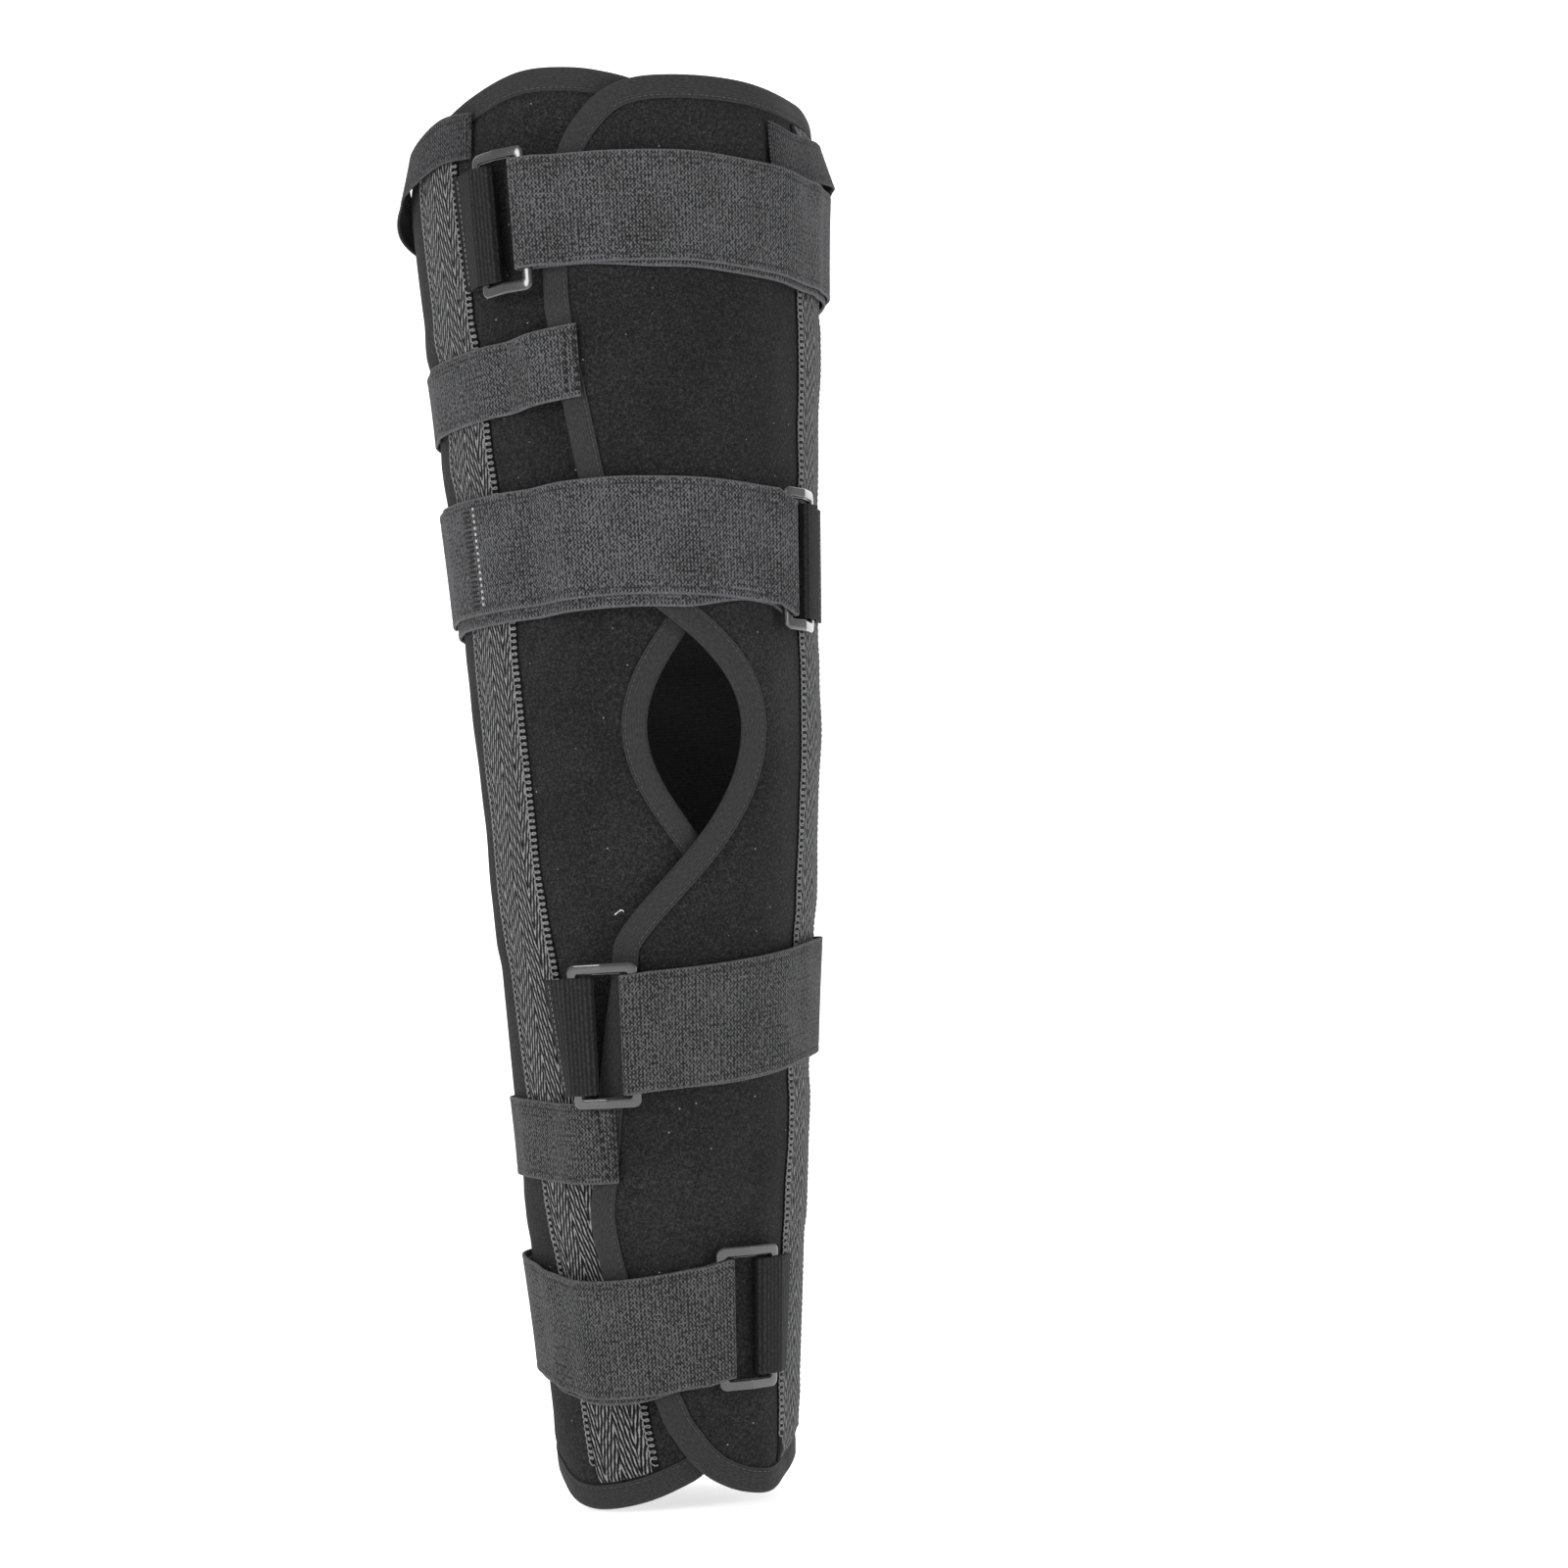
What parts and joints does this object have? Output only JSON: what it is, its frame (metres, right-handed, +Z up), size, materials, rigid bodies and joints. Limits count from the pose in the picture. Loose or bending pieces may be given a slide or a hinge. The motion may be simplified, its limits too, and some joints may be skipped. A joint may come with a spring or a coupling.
{
  "type": "knee immobilizer",
  "caption": "Padded three-panel knee immobilizer with an open kneecap window, closed down the front by elastic straps through moulded loops.",
  "frame": {"origin": "on the middle of the leg that wears it, level with the middle of the kneecap window", "axes": "+Z up the leg towards the thigh, -Y out of the front of the knee, +X to the viewer's right"},
  "size_m": [0.1927, 0.188, 0.6055],
  "materials": {
    "brushed_loop_fabric": "brushed loop knit laminated to foam",
    "edge_binding_tape": "folded knit binding, stitched",
    "herringbone_tape": "woven herringbone tape",
    "woven_elastic": "woven elastic with brushed face",
    "ribbed_webbing": "ribbed black webbing",
    "moulded_loop": "moulded, satin"
  },
  "bodies": {
    "root": {"right_panel": "brushed_loop_fabric", "back_panel": "brushed_loop_fabric", "left_panel": "brushed_loop_fabric", "edge_binding": "edge_binding_tape", "left_stay_pocket": "herringbone_tape", "right_stay_pocket": "herringbone_tape", "thigh_band": "woven_elastic", "upper_closure_tab": "woven_elastic", "lower_closure_tab": "woven_elastic", "thigh_strap": "woven_elastic", "thigh_loop_tab": "ribbed_webbing", "thigh_loop": "moulded_loop", "above_knee_strap": "woven_elastic", "above_knee_loop_tab": "ribbed_webbing", "above_knee_loop": "moulded_loop", "below_knee_strap": "woven_elastic", "below_knee_loop_tab": "ribbed_webbing", "below_knee_loop": "moulded_loop", "ankle_strap": "woven_elastic", "ankle_loop_tab": "ribbed_webbing", "ankle_loop": "moulded_loop"}
  },
  "joints": []
}
